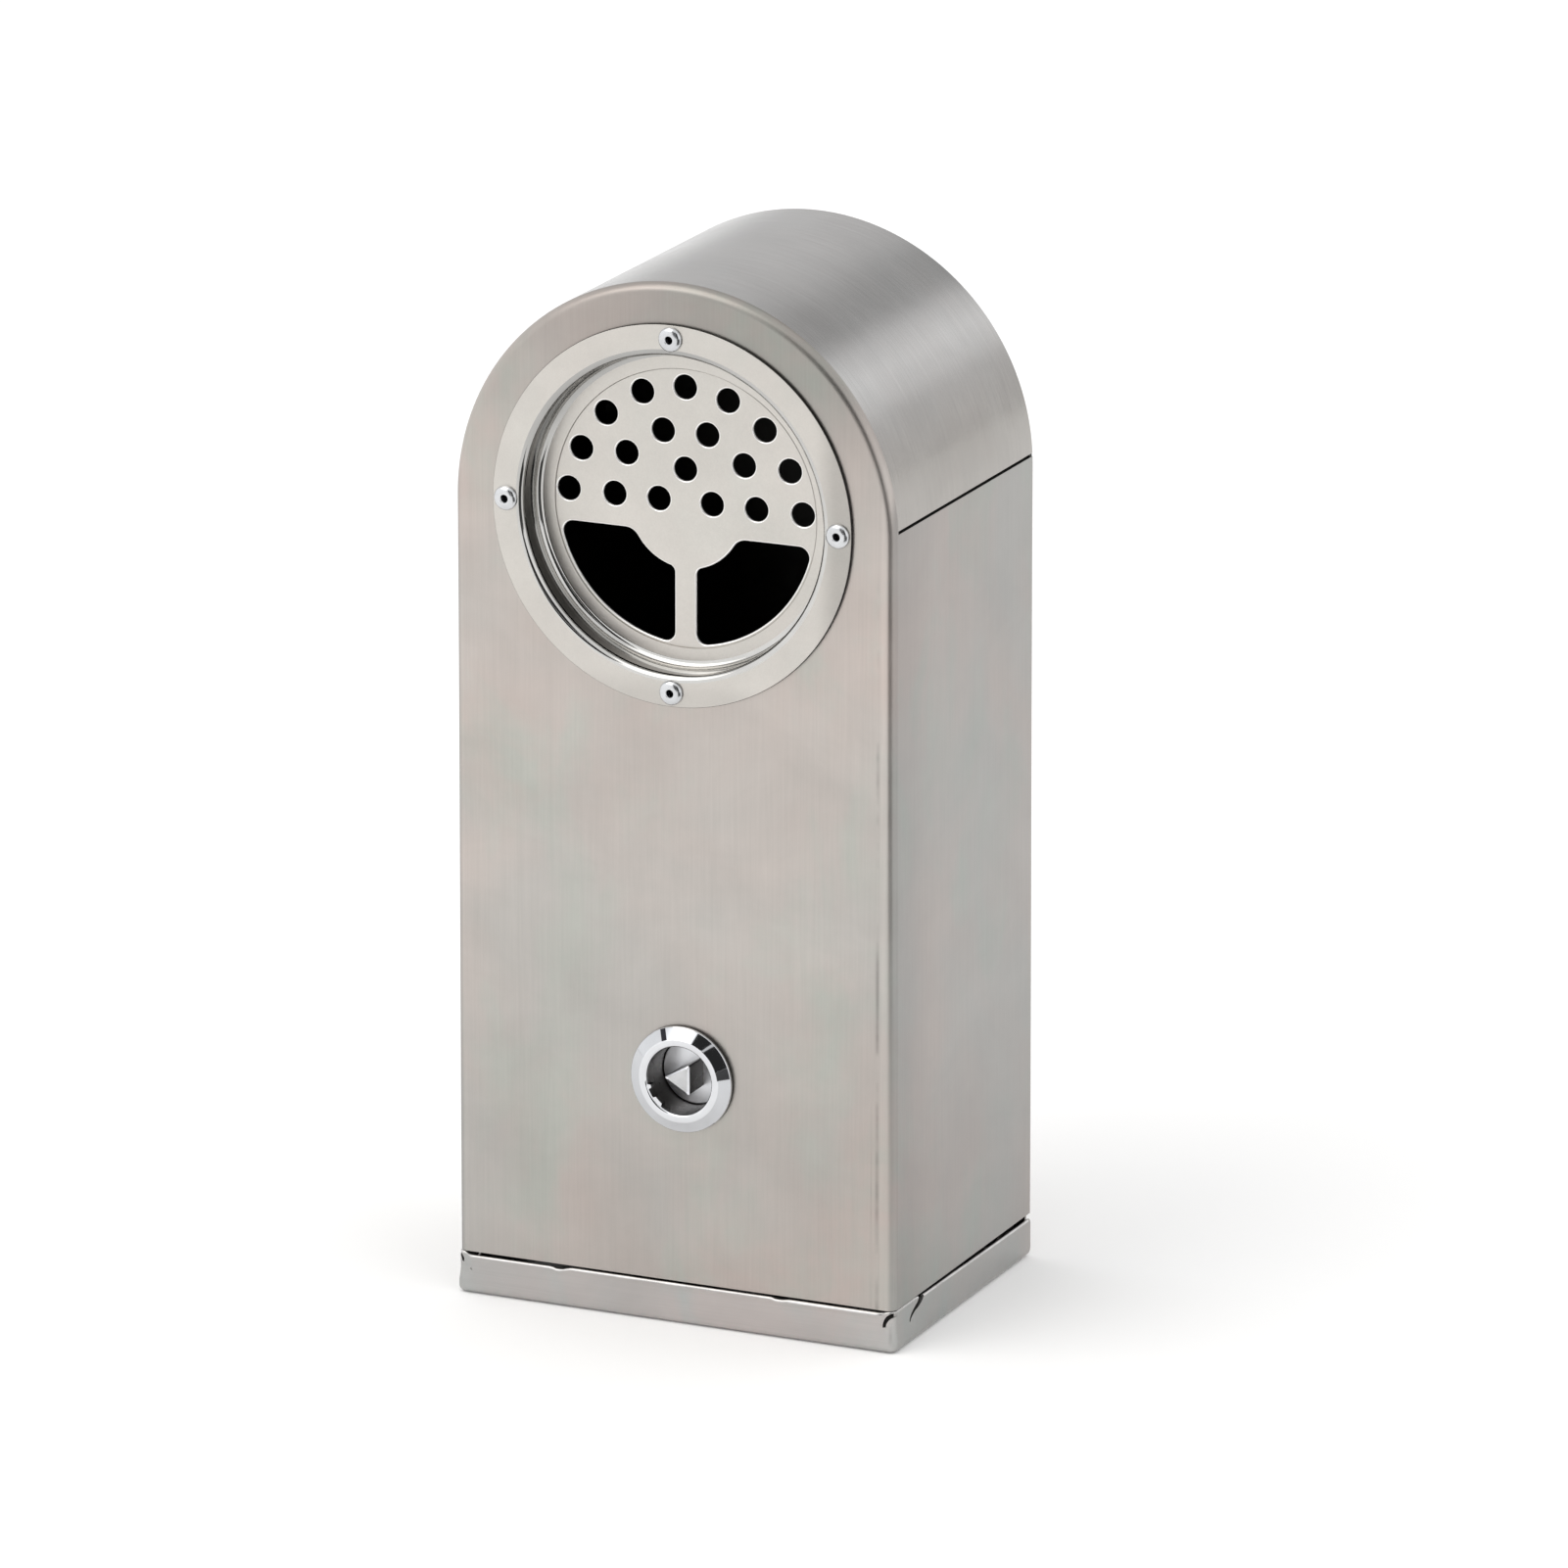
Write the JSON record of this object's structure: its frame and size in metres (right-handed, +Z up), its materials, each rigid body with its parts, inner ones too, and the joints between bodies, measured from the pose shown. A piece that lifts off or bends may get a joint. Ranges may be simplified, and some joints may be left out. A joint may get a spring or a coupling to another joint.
{
  "type": "ashtray bin",
  "caption": "Wall-mounted stainless steel ashtray bin with an arched hood, a recessed perforated stub-out dish with drop openings, and a key-locked hinged bottom pan.",
  "frame": {"origin": "under the middle of the base, midway between the lock's front face and the back plate's rear face", "axes": "+X to the right seen from the front, front faces -Y, +Z up"},
  "size_m": [0.121, 0.089, 0.2675],
  "materials": {
    "brushed_casing": "brushed",
    "dish_steel": "satin",
    "rivet_aluminium": "satin",
    "lock_chrome": "polished",
    "plug_zinc": "satin",
    "plated_steel": "zinc plated",
    "hinge_steel": "satin",
    "seal_rubber": "matte"
  },
  "bodies": {
    "casing": {"front_and_sides": "brushed_casing", "arched_hood": "brushed_casing", "back_plate": "brushed_casing", "ash_dish": "dish_steel", "dish_rivets": "rivet_aluminium", "rivet_stems": "plated_steel", "lock_housing": "lock_chrome", "lock_gasket": "seal_rubber", "lock_nut": "plated_steel", "hinge_body_leaf": "hinge_steel", "hinge_pin": "hinge_steel"},
    "lock": {"lock_plug": "plug_zinc", "plug_o_ring": "seal_rubber", "hook_cam": "plated_steel", "cam_washer": "plated_steel", "cam_screw": "plated_steel"},
    "trap": {"trap_pan": "brushed_casing", "catch_bracket": "plated_steel", "hinge_trap_leaf": "hinge_steel"}
  },
  "joints": [
    {"name": "trap_hinge", "type": "hinge", "parent": "casing", "child": "trap", "pos_m": [0, 0.0411, 0.0033], "axis": [1, 0, 0], "range_deg": [0, 90]},
    {"name": "lock_turn", "type": "hinge", "parent": "casing", "child": "lock", "pos_m": [0.0025, -0.0245, 0.0645], "axis": [0, 1, 0], "range_deg": [0, 90]}
  ]
}
